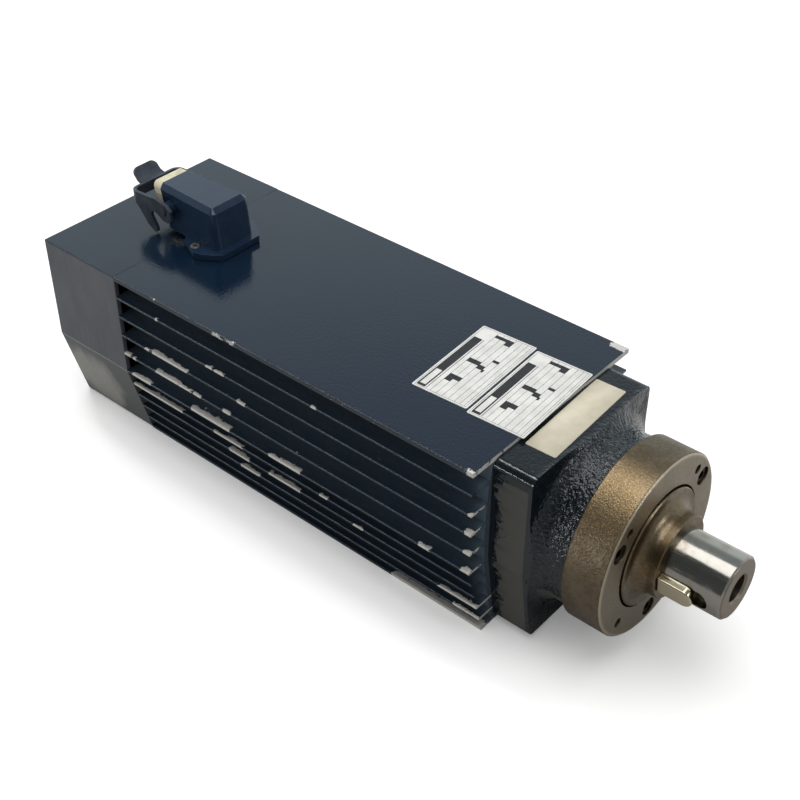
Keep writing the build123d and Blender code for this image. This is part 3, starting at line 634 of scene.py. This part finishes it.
# %% [markdown]
# ## The housing as one drawn section
#
# An extrusion is one outline carried along a straight line. The real die leaves a small round
# on every fin tip, and those rounds draw the thin light lines along the fins. The packed solid
# has flat chamfers there, so this mesh replaces it: the same outline with rounded tips, on a
# grid of stations close enough to store where the paint has been knocked off.
#
# First the outline of one half is written as points (y, z), from the top plate down to the
# foot. The body between the fins is an arc through three points.

# %% Housing outline
PLATE_T, FOOT_T, TIP_ROUND = 2.8, 2.4, 0.45
# A fin's half thickness at FIN_BASE_Y, inside the body, and its full thickness where the tip's
# chamfer begins on the packed solid.
FIN_HALF_ROOT, FIN_TIP, FIN_BASE_Y, TIP_CHAMFER = 1.5, 1.5, 40.0, 0.4
BORE_R = 42.0
HOUSING_FRONT, HOUSING_REAR = -62.0, -303.0
pitch = (TOP_Z - PLATE_T / 2 - CORNER_Z) / 5
slope_pitch = (CORNER_Z - FOOT_Z) / 5
FIN_Z = [TOP_Z - PLATE_T / 2 - pitch * k for k in range(1, 6)]
FIN_Z += [CORNER_Z - slope_pitch * k for k in range(1, 5)]
# Extra points near the edges, so that a chip ends close to where its value does.
PLATE_INSETS, FIN_INSETS = (6.5, 4.0, 2.0, 0.9), np.array([4.0, 2.4, 1.2])


def circle_through(a, b, c):
    """Centre and radius of the circle through three points, from the two perpendicular bisectors."""
    a, b, c = (np.array(p, float) for p in (a, b, c))
    rows = 2 * np.array([b - a, c - a])
    centre = np.linalg.solve(rows, [b @ b - a @ a, c @ c - a @ a])
    return centre, np.linalg.norm(a - centre)


arc_centre, arc_radius = circle_through((46.5, TOP_Z), (50.5, 0), (40, FOOT_Z))


def body_y(z):
    """Half width of the body at height z, on the arc."""
    return arc_centre[0] + np.sqrt(arc_radius ** 2 - (z - arc_centre[1]) ** 2)


def tip_y(z):
    """Half width of the fin tips at height z: upright above the corner, sloping in below it."""
    return HALF_WIDTH - SIDE_SLOPE * max(0.0, CORNER_Z - z)


def rounded(corner, turn, radius=TIP_ROUND, points=4):
    """Quarter round at an outer corner: centre plus radius times (cos, sin), from turn back by 90 degrees."""
    angle = np.radians(turn - np.linspace(0, 90, points))
    centre = np.array(corner) - radius * np.array([1, np.sign(np.sin(np.radians(turn - 45)))])
    return centre + radius * np.stack([np.cos(angle), np.sin(angle)], axis=-1)


def fin(z):
    """Outline of one tapered fin, down its upper face, round its tip and back along its lower face."""
    tip, tip_half, back = tip_y(z), FIN_TIP / 2, FIN_INSETS
    slope = (FIN_HALF_ROOT - tip_half) / (tip - TIP_CHAMFER - FIN_BASE_Y)
    half = tip_half + slope * (tip - body_y(z))
    upper = np.stack([tip - back, z + tip_half + slope * back], axis=-1)
    lower = np.stack([tip - back[::-1], z - tip_half - slope * back[::-1]], axis=-1)
    top, low = rounded((tip, z + tip_half), 90), rounded((tip, z - tip_half), 0)
    roots = [[(body_y(z + side * half), z + side * half)] for side in (1, -1)]
    return np.concatenate([roots[0], upper, top, low, lower, roots[1]])


under_plate, on_foot = TOP_Z - PLATE_T, FOOT_Z + FOOT_T
parts = [[(HALF_WIDTH - inset, TOP_Z) for inset in PLATE_INSETS],
         rounded((HALF_WIDTH, TOP_Z), 90), rounded((HALF_WIDTH, under_plate), 0),
         [(HALF_WIDTH - 2, under_plate), (body_y(under_plate), under_plate)],
         *[fin(z) for z in FIN_Z],
         [(body_y(on_foot), on_foot), (FOOT_HALF + 0.6, on_foot)],
         [(FOOT_HALF, FOOT_Z), (FOOT_HALF - 2.5, FOOT_Z)]]
half_outline = np.concatenate([np.array(part) for part in parts])
outline = np.concatenate([half_outline, half_outline[::-1] * [-1, 1]])
print("points round the housing:", len(outline))

# %% [markdown]
# ## Where the paint is gone
#
# Each knock is a stretch of one fin: its height, where it begins and ends along the shaft, and
# how far it runs in from the tip. The value stored at a point is the distance to the nearest
# edge of the stretch, limited on both sides: a half on the edge, 1 well inside and 0 outside.

# %% Chips
NEAR, FAR = -1, 1
KNOCK_HALF_HEIGHT, KNOCK_FADE = 2.3, 3.2
NEAR_KNOCKS = [
    (48.1, -228, -211, 0.2), (48.1, -272, -270, 0.3), (48.1, -66, -61.5, 1.6), (35.98, -273, -270, 1.0),
    (23.86, -236, -231, 1.6), (23.86, -229, -222, 1.8), (11.74, -279, -251, 2.2), (11.74, -214, -208, 1.6),
    (11.74, -285, -281, 1.2), (-0.38, -306, -298, 2.2), (-0.38, -296, -293, 1.2), (-0.38, -278, -259, 2.6),
    (-0.38, -259, -250, 1.8), (-0.38, -248, -242, 1.4), (-0.38, -226, -220, 1.6), (-12.5, -299, -283, 2.4),
    (-12.5, -252, -222, 3.6), (-12.5, -193, -171, 2.6), (-12.5, -93, -86, 2.0), (-22, -302, -262, 2.2),
    (-22, -238, -226, 1.8), (-22, -229, -215, 2.2), (-31.5, -229, -214, 2.4), (-31.5, -199, -176, 2.4),
    (-41, -223, -209, 2.0), (-41, -86, -57, 1.6), (-50.5, -78, -55, 1.2), (-58.8, -120, -50, 1.6),
    (23.86, -64.5, -61, 2.0), (11.74, -66, -61, 3.0), (-0.38, -66, -61, 3.0), (-12.5, -67, -61, 3.4),
    (-22, -160, -154, 1.4), (-31.5, -140, -133, 1.2), (35.98, -160, -157, 1.0),
]
FAR_KNOCKS = [
    (48.1, -71, -61, 5.0), (35.98, -240, -228, 1.4), (11.74, -180, -168, 1.8), (-12.5, -120, -96, 2.2),
]
KNOCKS = [(NEAR, *knock) for knock in NEAR_KNOCKS] + [(FAR, *knock) for knock in FAR_KNOCKS]


def bare_at(x, y, z):
    """How far points lie inside a knock: half plus distance over the fade, from 0 to 1, largest over all."""
    most = np.zeros(np.broadcast(x, y, z).shape)
    for side, height, start, end, depth in KNOCKS:
        inward = depth - (tip_y(height) - side * y)
        inside = np.minimum(np.minimum(x - start, end - x), inward)
        close = np.abs(z - height) < KNOCK_HALF_HEIGHT
        most = np.maximum(most, close * np.clip(0.5 + inside / KNOCK_FADE, 0, 1))
    return most


print("knocks on the near side:", len(NEAR_KNOCKS), "and on the far side:", len(FAR_KNOCKS))

# %% [markdown]
# ## Carrying the outline along the shaft
#
# The grid has one row for each station and one column for each point of the outline. The bore
# is a second, smaller grid, and two flat caps join both rims. `tessellate_polygon` fills such a
# cap round its hole. Only the angles sharper than HARD_ANGLE stay hard.

# %% Housing mesh
STATION = 1.6
BORE_POINTS = 128
HARD_ANGLE = radians(40)


def shaded(mesh):
    """Shades a mesh smooth, apart from its hard angles."""
    mesh.polygons.foreach_set("use_smooth", [True] * len(mesh.polygons))
    mesh.set_sharp_from_angle(angle=HARD_ANGLE)


def grid_faces(rows, columns, first=0):
    """Quads of a grid that closes on itself across its columns, its points numbered row by row."""
    start = np.arange(rows - 1)[:, None] * columns
    here = np.arange(columns)[None, :]
    right = (here + 1) % columns
    quads = np.stack([start + here, start + right, start + columns + right, start + columns + here], axis=-1)
    return quads.reshape(-1, 4) + first


def carried(section, stations):
    """A section (y, z) repeated at each station x: every station with every point, row by row."""
    return np.column_stack([np.repeat(stations, len(section)), np.tile(section, (len(stations), 1))])


def extruded(name, section, hole, x0, x1, body, replaces, finish):
    """Mesh of a section with one hole, carried from x0 to x1, with a cap on each end."""
    stations = np.linspace(x0, x1, int(round((x1 - x0) / STATION)) + 1)
    outer = carried(section, stations)
    points = np.concatenate([outer, carried(hole, [x0, x1])])
    skin = grid_faces(len(stations), len(section))
    bore = grid_faces(2, len(hole), len(outer))[:, ::-1]
    rim = np.arange(len(section))
    well = np.arange(len(hole)) + len(outer)
    cap = np.array(tessellate_polygon([[(*p, 0) for p in section], [(*p, 0) for p in hole]]))
    back = np.concatenate([rim, well])[cap]
    front = np.concatenate([rim + (len(stations) - 1) * len(section), well + len(hole)])[cap]
    faces = skin.tolist() + bore.tolist() + back.tolist() + front[:, ::-1].tolist()
    mesh = bpy.data.meshes.new(name)
    mesh.from_pydata((points * MM).tolist(), [], faces)
    stored = mesh.attributes.new("bare", "FLOAT", "POINT")
    stored.data.foreach_set("value", bare_at(*points.T).astype(np.float32))
    shaded(mesh)
    piece = new_object(name, mesh)
    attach(piece, body)
    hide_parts(replaces)
    wear(piece, finish)
    return piece


def full_turn(count):
    """Angles of count points spread evenly round a circle."""
    return np.linspace(0, 2 * np.pi, count, endpoint=False)


bore = BORE_R * np.stack([np.cos(full_turn(BORE_POINTS)), -np.sin(full_turn(BORE_POINTS))], axis=-1)
housing = extruded("housing_skin", outline, bore, HOUSING_REAR, HOUSING_FRONT, "stator", "finned_housing",
                   "housing_paint")
print("housing faces:", len(housing.data.polygons))

# %% [markdown]
# ## Softened edges
#
# No pressed or cast edge is perfectly sharp, and the thin line of light along an edge is what
# makes a small part look solid. A packed solid is made of loose triangles, so a copy is joined
# by distance first, its flat faces are made whole, and the shading it came with is taken off.
# A Bevel modifier then rounds every edge sharper than SOFT_ANGLE, and Weighted Normal keeps the
# flat faces flat in the light. The copy replaces the solid and rides the same body. The table
# gives the width of each bevel in millimetres.

# %% Softened copies
SOFT = {"fan_cowl": 0.5, "connector_housing": 0.9, "locking_lever": 0.3, "shaft_key": 0.3}
SOFT_ANGLE, FLAT_ANGLE = radians(35), radians(0.4)
SAME_POINT = 0.002


def joined(node):
    """Copy of a node's mesh, its points merged by distance and its flat faces joined."""
    mesh = frame["nodes"][node].data.copy()
    work = bmesh.new()
    work.from_mesh(mesh)
    bmesh.ops.remove_doubles(work, verts=work.verts, dist=SAME_POINT * MM)
    bmesh.ops.dissolve_limit(work, angle_limit=FLAT_ANGLE, verts=work.verts, edges=work.edges)
    work.to_mesh(mesh)
    work.free()
    for left_over in ("custom_normal", "sharp_edge"):
        if left_over in mesh.attributes:
            mesh.attributes.remove(mesh.attributes[left_over])
    return mesh


def softened(node, width):
    """Joined copy of a node's solid, with a bevel of width millimetres on its sharp edges."""
    source = frame["nodes"][node]
    mesh = joined(node)
    mesh.polygons.foreach_set("use_smooth", [True] * len(mesh.polygons))
    piece = new_object(node + "_soft", mesh)
    bevel = piece.modifiers.new("soft_edges", "BEVEL")
    bevel.width = width * MM
    bevel.segments = 3
    bevel.limit_method = "ANGLE"
    bevel.angle_limit = SOFT_ANGLE
    piece.modifiers.new("flat_faces", "WEIGHTED_NORMAL")
    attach(piece, body_of(source)[0])
    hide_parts(node)
    return piece


for node, width in SOFT.items():
    made = softened(node, width)
    print(made.name, "faces:", len(made.data.polygons))

# %% [markdown]
# ## Turned pieces: plugs and a dark plate for the shade behind the fins
#
# The four screws of the shield lie under filler and paint, so only shallow dishes show. A dark
# disc is set on the fan, out almost to its blade tips, which closes the view through the gaps
# behind the fins: a dark sheet that stands in for the shade there. Both are profiles turned
# about a line along X. Points on the line itself fall together, so they are merged, and the
# faces are then turned outwards.

# %% Lathe
def lathe(name, profile, centres, body, finish, steps=40):
    """Closed profile (x, r) turned about X at each centre (y, z): y + r cos t and z + r sin t for all t."""
    profile, centres = np.asarray(profile, float), np.asarray(centres, float)
    ring = np.stack([np.cos(full_turn(steps)), np.sin(full_turn(steps))], axis=-1)
    around = centres[:, None, None] + profile[None, :, None, 1:] * ring[None, None]
    along = np.broadcast_to(profile[None, :, None, :1], around.shape[:3] + (1,))
    points = np.concatenate([along, around], axis=-1).reshape(-1, 3)
    block = len(profile) * steps
    quads = grid_faces(len(profile) + 1, steps) % block
    faces = (quads[None] + block * np.arange(len(centres))[:, None, None]).reshape(-1, 4)
    mesh = bpy.data.meshes.new(name)
    mesh.from_pydata((points * MM).tolist(), [], faces.tolist())
    work = bmesh.new()
    work.from_mesh(mesh)
    bmesh.ops.remove_doubles(work, verts=work.verts, dist=SAME_POINT * MM)
    bmesh.ops.recalc_face_normals(work, faces=work.faces)
    work.to_mesh(mesh)
    work.free()
    shaded(mesh)
    piece = new_object(name, mesh)
    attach(piece, body)
    wear(piece, finish)
    return piece


PLUG_PROFILE = [(-45.1, 0), (-45.1, 4.5), (-40.05, 4.5), (-40.05, 4.2), (-40.25, 3.2), (-40.3, 0)]
SHIELD_SCREWS = [(41, 38), (-41, 38), (34, -42), (-34, -42)]
plugs = lathe("shield_plugs", PLUG_PROFILE, SHIELD_SCREWS, "stator", "cast_paint")
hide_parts("front_shield_screws")
FAN_SHADE_PLATE = [(-341.0, 30.0), (-341.0, 43.0), (-340.0, 43.0), (-340.0, 30.0)]
plate = lathe("fan_shade_plate", FAN_SHADE_PLATE, [(0, 0)], "rotor", "fan_plastic", 96)
print("plug faces:", len(plugs.data.polygons), "plate faces:", len(plate.data.polygons))

# %% [markdown]
# ## Stickers put on a little askew
#
# Nobody sets a foil perfectly square. Each of the three is a copy of its solid, turned by a few
# degrees about the middle of its far edge, so it still lies flat on the paint. The table gives
# the angles.

# %% Stickers
ASKEW = {"rating_plate_rear": 3.2, "rating_plate_front": 3.2, "nose_label": 2.5}


def askew(points, node):
    """Points turned about the middle of the node's far edge, by its angle, anticlockwise from above."""
    low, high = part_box(node)
    angle = radians(ASKEW[node])
    centre = np.array([(low.x + high.x) / 2, high.y])
    flat = points[:, :2] - centre
    turned = np.stack([flat[:, 0] * np.cos(angle) - flat[:, 1] * np.sin(angle),
                       flat[:, 0] * np.sin(angle) + flat[:, 1] * np.cos(angle)], axis=-1)
    return np.concatenate([turned + centre, points[:, 2:]], axis=-1)


def sticker(node):
    """Copy of a foil's solid, set askew, that replaces it."""
    mesh = joined(node)
    points = np.empty(len(mesh.vertices) * 3)
    mesh.vertices.foreach_get("co", points)
    mesh.vertices.foreach_set("co", askew(points.reshape(-1, 3), node).ravel())
    mesh.update()
    piece = new_object(node + "_foil", mesh)
    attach(piece, "stator")
    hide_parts(node)
    return piece


for node in ASKEW:
    print(sticker(node).name)

# %% [markdown]
# ## The print on the rating plates
#
# A rating plate is white foil with black printing: a header bar, ruled rows and small blocks
# that name the columns. The words are left off, so the bars stay bare. Each printed mark is a
# thin raised tile. All the tiles of one plate are made together, as one array of corners.

# %% Tiles
# Corner i of a box takes the high side along x, y and z where bits 0, 1 and 2 of i are set.
HIGH_SIDE = np.array([[i & 1, (i >> 1) & 1, (i >> 2) & 1] for i in range(8)])
BOX_FACES = np.array([[0, 2, 3, 1], [4, 5, 7, 6], [0, 1, 5, 4], [2, 6, 7, 3], [0, 4, 6, 2], [1, 3, 7, 5]])


def tiles(name, boxes, node, finish, body="stator"):
    """Flat tiles on a foil: each row is x0, x1, y0, y1, z0, z1 in mm, its 8 corners every mix, set askew."""
    boxes = np.asarray(boxes, float) * MM
    corners = np.stack([boxes[:, 2 * k + HIGH_SIDE[:, k]] for k in range(3)], axis=-1)
    quads = BOX_FACES + len(HIGH_SIDE) * np.arange(len(boxes))[:, None, None]
    mesh = bpy.data.meshes.new(name)
    mesh.from_pydata(askew(corners.reshape(-1, 3), node).tolist(), [], quads.reshape(-1, 4).tolist())
    piece = new_object(name, mesh)
    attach(piece, body)
    wear(piece, finish)
    return piece


print("corners and faces of one tile:", len(HIGH_SIDE), len(BOX_FACES))

# %% [markdown]
# ### Rows and blocks
#
# Places on a plate are measured in millimetres from its rear near corner: u runs along the
# shaft and v across it. A mark is u0, u1, v0, v1. The header bar leaves a bare white box near
# one end, where a maker's sign would be.

# %% Printed marks
PRINT_THICK, PRINT_SUNK = 0.03, 0.01
RULE, FRAME, MARGIN = 0.16, 0.15, 0.9
ROW_LINES = [9.9, 13.4, 16.9, 20.4, 23.9, 27.0, 29.4]
HEADER = [(1.6, 6.4, 1.6, 3.4), (1.6, 2.4, 3.4, 17.0), (5.6, 6.4, 3.4, 17.0), (1.6, 6.4, 17.0, 49.5),
          (7.2, 7.5, 1.6, 49.5)]
BLOCKS = [
    (10.0, 13.4, 12.2, 18.0), (13.4, 16.9, 14.6, 18.0), (10.0, 16.9, 30.5, 33.8), (16.9, 20.4, 28.4, 31.8),
    (20.4, 23.9, 37.0, 39.0), (9.9, 20.4, 54.6, 57.0), (16.9, 20.4, 52.0, 54.6), (20.4, 21.6, 27.0, 29.4),
]


def plate_print(node):
    """Marks of one plate: ruled rows, a frame line, the header and the blocks."""
    low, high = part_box(node)
    x0, y0, top = low.x / MM, low.y / MM, high.z / MM
    width, length = (high.x - low.x) / MM, (high.y - low.y) / MM
    wide, long = width - MARGIN, length - MARGIN
    marks = [(u, u + RULE, MARGIN + 0.3, long - 0.3) for u in ROW_LINES]
    marks += [(u, u + FRAME, MARGIN, long) for u in (MARGIN, wide - FRAME)]
    marks += [(MARGIN, wide, v, v + FRAME) for v in (MARGIN, long - FRAME)]
    marks += HEADER + BLOCKS
    low_z, high_z = top - PRINT_SUNK, top + PRINT_THICK
    rows = [(x0 + u0, x0 + u1, y0 + v0, y0 + v1, low_z, high_z) for u0, u1, v0, v1 in marks]
    return tiles(node + "_print", rows, node, "ink_black")


for node in ("rating_plate_rear", "rating_plate_front"):
    made = plate_print(node)
    print(made.name, "faces:", len(made.data.polygons))

# %% [markdown]
# ## Light, backdrop and floor
#
# One very broad lamp over the spindle and a soft room of light around it give a plain studio
# look. Two narrow lamps on the near left stand for windows: they draw the thin pairs of light
# lines along the fins and the shaft, and make the casting glitter. The camera sees the room as
# white. A mirror such as the paint or the shaft sees that white backdrop behind the spindle,
# low down, and a dimmer room above it and beside the camera. The lamps stay at the level at
# which a colour shows about as it is written.

# %% World
# The level direction in which the camera looks.
LOOK_X, LOOK_Y = -0.65, 0.76
MIRRORED_TINT = (0.86, 0.96, 1.0, 1)
world = bpy.data.worlds.new("studio")
bpy.context.scene.world = world
world.use_nodes = True
tree = world.node_tree
backdrop = tree.nodes["Background"]
direction = Wire(tree.nodes.new("ShaderNodeTexCoord").outputs["Generated"])
dx, dy, dz = axes(direction)
paths = tree.nodes.new("ShaderNodeLightPath")
seen = Wire(paths.outputs["Is Camera Ray"]) + Wire(paths.outputs["Is Transmission Ray"])
mirrored = Wire(paths.outputs["Is Glossy Ray"])
behind = step(dx * LOOK_X + dy * LOOK_Y, -0.25, 0.55)
soft_room = 0.26 + step(dz, -0.1, 0.9) * 0.26 + behind * step(dz, -0.05, 0.3) * 0.20
mirror_room = 0.10 + behind * 0.34 + behind * step(dz, 0.72, 0.46) * 0.56 + step(dx, 0.3, 0.9) * 0.28
room = mirrored * mirror_room + (1 - mirrored) * soft_room
tint = blend(mirrored, (1, 1, 1, 1), MIRRORED_TINT)
white = blend(seen, blend(room, (0, 0, 0, 1), tint), (1, 1, 1, 1))
tree.links.new(white.socket, backdrop.inputs["Color"])
backdrop.inputs["Strength"].default_value = 1.0
print("nodes in the room:", len(tree.nodes))

# %% [markdown]
# ### The lamps
#
# Each lamp is a glowing rectangle that points its face at a target. A wide one gives soft
# shadows, and a long narrow one gives a thin line of light on every rounded edge.

# %% Lamps
def lamp(name, place, target, width, height, power):
    """A flat soft lamp at place that faces target, all in millimetres."""
    data = bpy.data.lights.new(name, "AREA")
    data.shape = "RECTANGLE"
    data.size = width * MM
    data.size_y = height * MM
    data.energy = power
    made = new_object(name, data)
    made.location = [v * MM for v in place]
    toward = np.array(target, float) - np.array(place, float)
    made.rotation_euler = Vector(toward).to_track_quat("-Z", "Y").to_euler()
    return made


lamp("overhead", (-50, -100, 1400), (-160, 0, 0), 1200, 1200, 11)
lamp("window_high", (-1030, 110, 1380), (-100, 0, 0), 150, 900, 5.5)
lamp("window_low", (-1240, -1600, 160), (-100, 0, 0), 1000, 200, 8)
lamp("from_the_right", (900, 300, 700), (-60, 0, 0), 400, 400, 2)
print("lamps and watts:", [(light.name, light.energy) for light in bpy.data.lights])

# %% [markdown]
# ### The floor
#
# The floor is pale and takes only the soft shadow under the spindle. To the camera it has a
# faint glow of its own, which whitens it and grows where the lamps no longer reach. To the
# light that bounces about it is a middle grey, so that it doesn't flood the underside. A mirror
# sees it pale on the far side, where the paper sweep is lit, and dark on the camera's side,
# where the lit paper ends.

# %% Floor
FLOOR_Z = -60.05
FLOOR_HALF = 4000.0
FLOOR_SEEN, FLOOR_BOUNCED, FLOOR_NEAR = (0.95, 0.95, 0.945, 1), (0.42, 0.42, 0.41, 1), (0.38, 0.38, 0.38, 1)
# In metres from the middle: where the floor's own glow begins to rise, and where it is full.
GLOW_FROM, GLOW_FULL = 0.4, 2.4
material = bpy.data.materials.new("floor")
material.use_nodes = True
tree = material.node_tree
shader = tree.nodes["Principled BSDF"]
paths = tree.nodes.new("ShaderNodeLightPath")
ground = Wire(tree.nodes.new("ShaderNodeTexCoord").outputs["Object"])
gx, gy = axes(ground)[:2]
far_side = step(gy - gx * 0.4, -0.1, 0.3)
seen = Wire(paths.outputs["Is Camera Ray"]) + Wire(paths.outputs["Is Transmission Ray"])
mirrored = Wire(paths.outputs["Is Glossy Ray"])
tone = blend(seen + mirrored * far_side * 0.8, FLOOR_BOUNCED, FLOOR_SEEN)
tone = blend(mirrored * (1 - far_side), tone, FLOOR_NEAR)
squared = gx * gx + gy * gy
outward = step(squared.math("SQRT", squared), GLOW_FROM, GLOW_FULL)
glow = blend(seen * (0.16 + outward * 0.44), (0, 0, 0, 1), (1, 1, 1, 1))
tree.links.new(tone.socket, shader.inputs["Base Color"])
tree.links.new(glow.socket, shader.inputs["Emission Color"])
shader.inputs["Emission Strength"].default_value = 1.0
shader.inputs["Roughness"].default_value = 0.9
mesh = bpy.data.meshes.new("floor")
signs = [(-1, -1), (1, -1), (1, 1), (-1, 1)]
places = [(u * FLOOR_HALF * MM, v * FLOOR_HALF * MM, FLOOR_Z * MM) for u, v in signs]
mesh.from_pydata(places, [], [(0, 1, 2, 3)])
mesh.materials.append(material)
floor = new_object("floor", mesh)
print("floor, metres across:", 2 * FLOOR_HALF * MM)

# %% [markdown]
